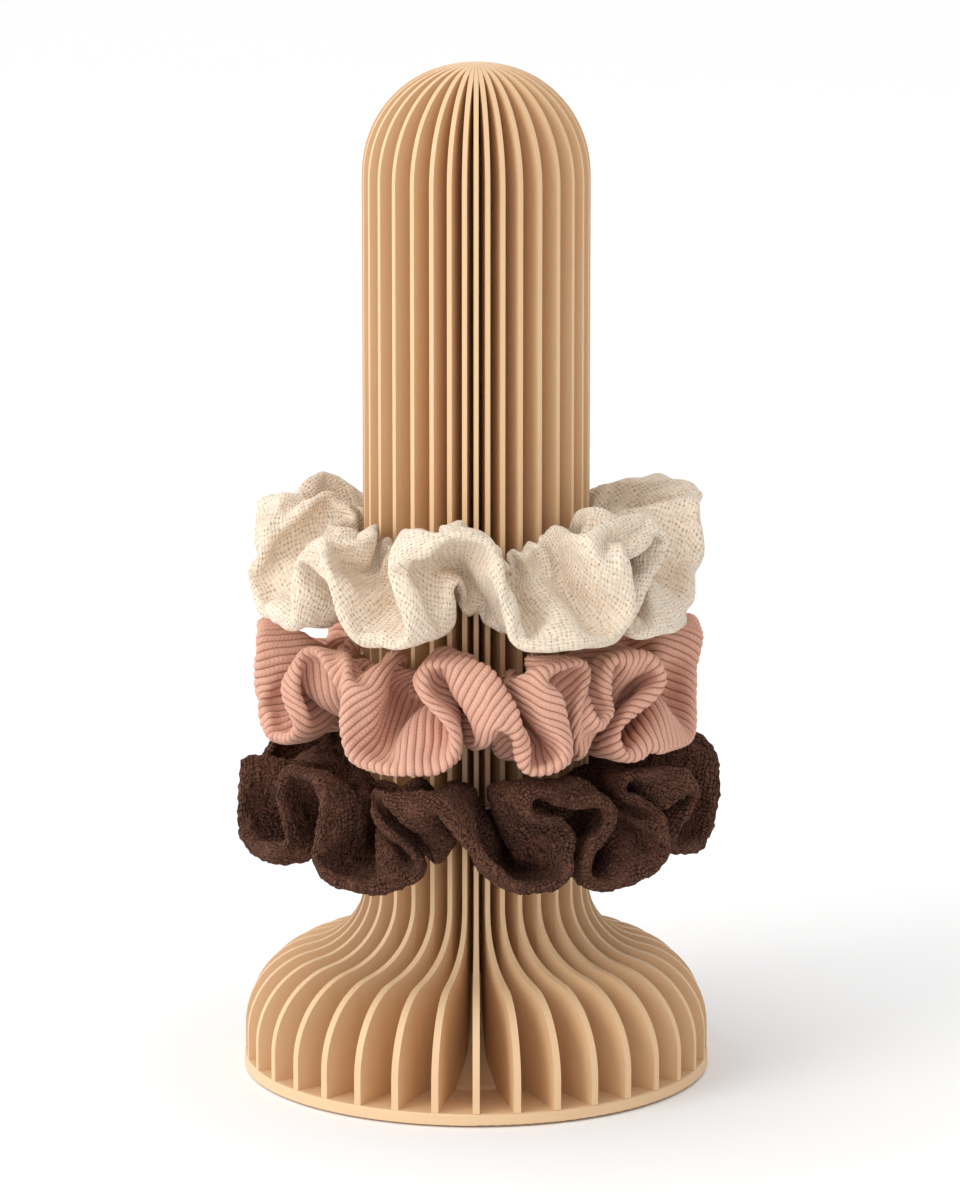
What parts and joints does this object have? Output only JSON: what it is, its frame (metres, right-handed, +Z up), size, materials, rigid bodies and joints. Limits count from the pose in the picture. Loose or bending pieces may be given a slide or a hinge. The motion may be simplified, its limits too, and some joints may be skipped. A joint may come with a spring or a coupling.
{
  "type": "hair tie holder",
  "caption": "Upright ribbed post with a domed crown and flared round base, holding gathered fabric hair ties that turn on the post and slide off over the crown.",
  "frame": {"origin": "centre of the bottom face of the pad, where the post's axis meets the table", "axes": "+Z up along the post's axis; the front of the picture looks along +Y, so the front is -Y and +X is to the right"},
  "size_m": [0.119, 0.119, 0.257],
  "materials": {
    "fins": "matte",
    "core": "matte",
    "base": "matte",
    "steel": "satin",
    "pad": "matte",
    "elastic": "matte",
    "brown_cloth": "matte",
    "pink_cloth": "matte",
    "cream_cloth": "matte"
  },
  "bodies": {
    "holder": {"fin_01": "fins", "fin_02": "fins", "fin_03": "fins", "fin_04": "fins", "fin_05": "fins", "fin_06": "fins", "fin_07": "fins", "fin_08": "fins", "fin_09": "fins", "fin_10": "fins", "fin_11": "fins", "fin_12": "fins", "fin_13": "fins", "fin_14": "fins", "fin_15": "fins", "fin_16": "fins", "fin_17": "fins", "fin_18": "fins", "fin_19": "fins", "fin_20": "fins", "fin_21": "fins", "fin_22": "fins", "fin_23": "fins", "fin_24": "fins", "fin_25": "fins", "fin_26": "fins", "fin_27": "fins", "fin_28": "fins", "fin_29": "fins", "fin_30": "fins", "fin_31": "fins", "fin_32": "fins", "fin_33": "fins", "fin_34": "fins", "fin_35": "fins", "fin_36": "fins", "core_tube": "core", "foot_cone": "base", "crown_plug": "core", "crown_pin": "fins", "foot_plug": "core", "base_plate": "base", "base_screw": "steel", "anti_slip_pad": "pad"},
    "brown_band": {"brown_elastic": "elastic"},
    "brown_tie": {"brown_sleeve": "brown_cloth"},
    "pink_band": {"pink_elastic": "elastic"},
    "pink_tie": {"pink_sleeve": "pink_cloth"},
    "cream_band": {"cream_elastic": "elastic"},
    "cream_tie": {"cream_sleeve": "cream_cloth"}
  },
  "joints": [
    {"name": "brown_slide", "type": "slide", "parent": "holder", "child": "brown_band", "axis": [0, 0, 1], "range_m": [0, 0.21]},
    {"name": "pink_slide", "type": "slide", "parent": "brown_band", "child": "pink_band", "axis": [0, 0, 1], "range_m": [0, 0.178]},
    {"name": "cream_slide", "type": "slide", "parent": "pink_band", "child": "cream_band", "axis": [0, 0, 1], "range_m": [0, 0.147]},
    {"name": "brown_turn", "type": "hinge", "parent": "brown_band", "child": "brown_tie", "pos_m": [0, 0, 0.0715], "axis": [0, 0, 1], "continuous": true},
    {"name": "pink_turn", "type": "hinge", "parent": "pink_band", "child": "pink_tie", "pos_m": [0, 0, 0.1019], "axis": [0, 0, 1], "continuous": true},
    {"name": "cream_turn", "type": "hinge", "parent": "cream_band", "child": "cream_tie", "pos_m": [0, 0, 0.13395], "axis": [0, 0, 1], "continuous": true}
  ]
}
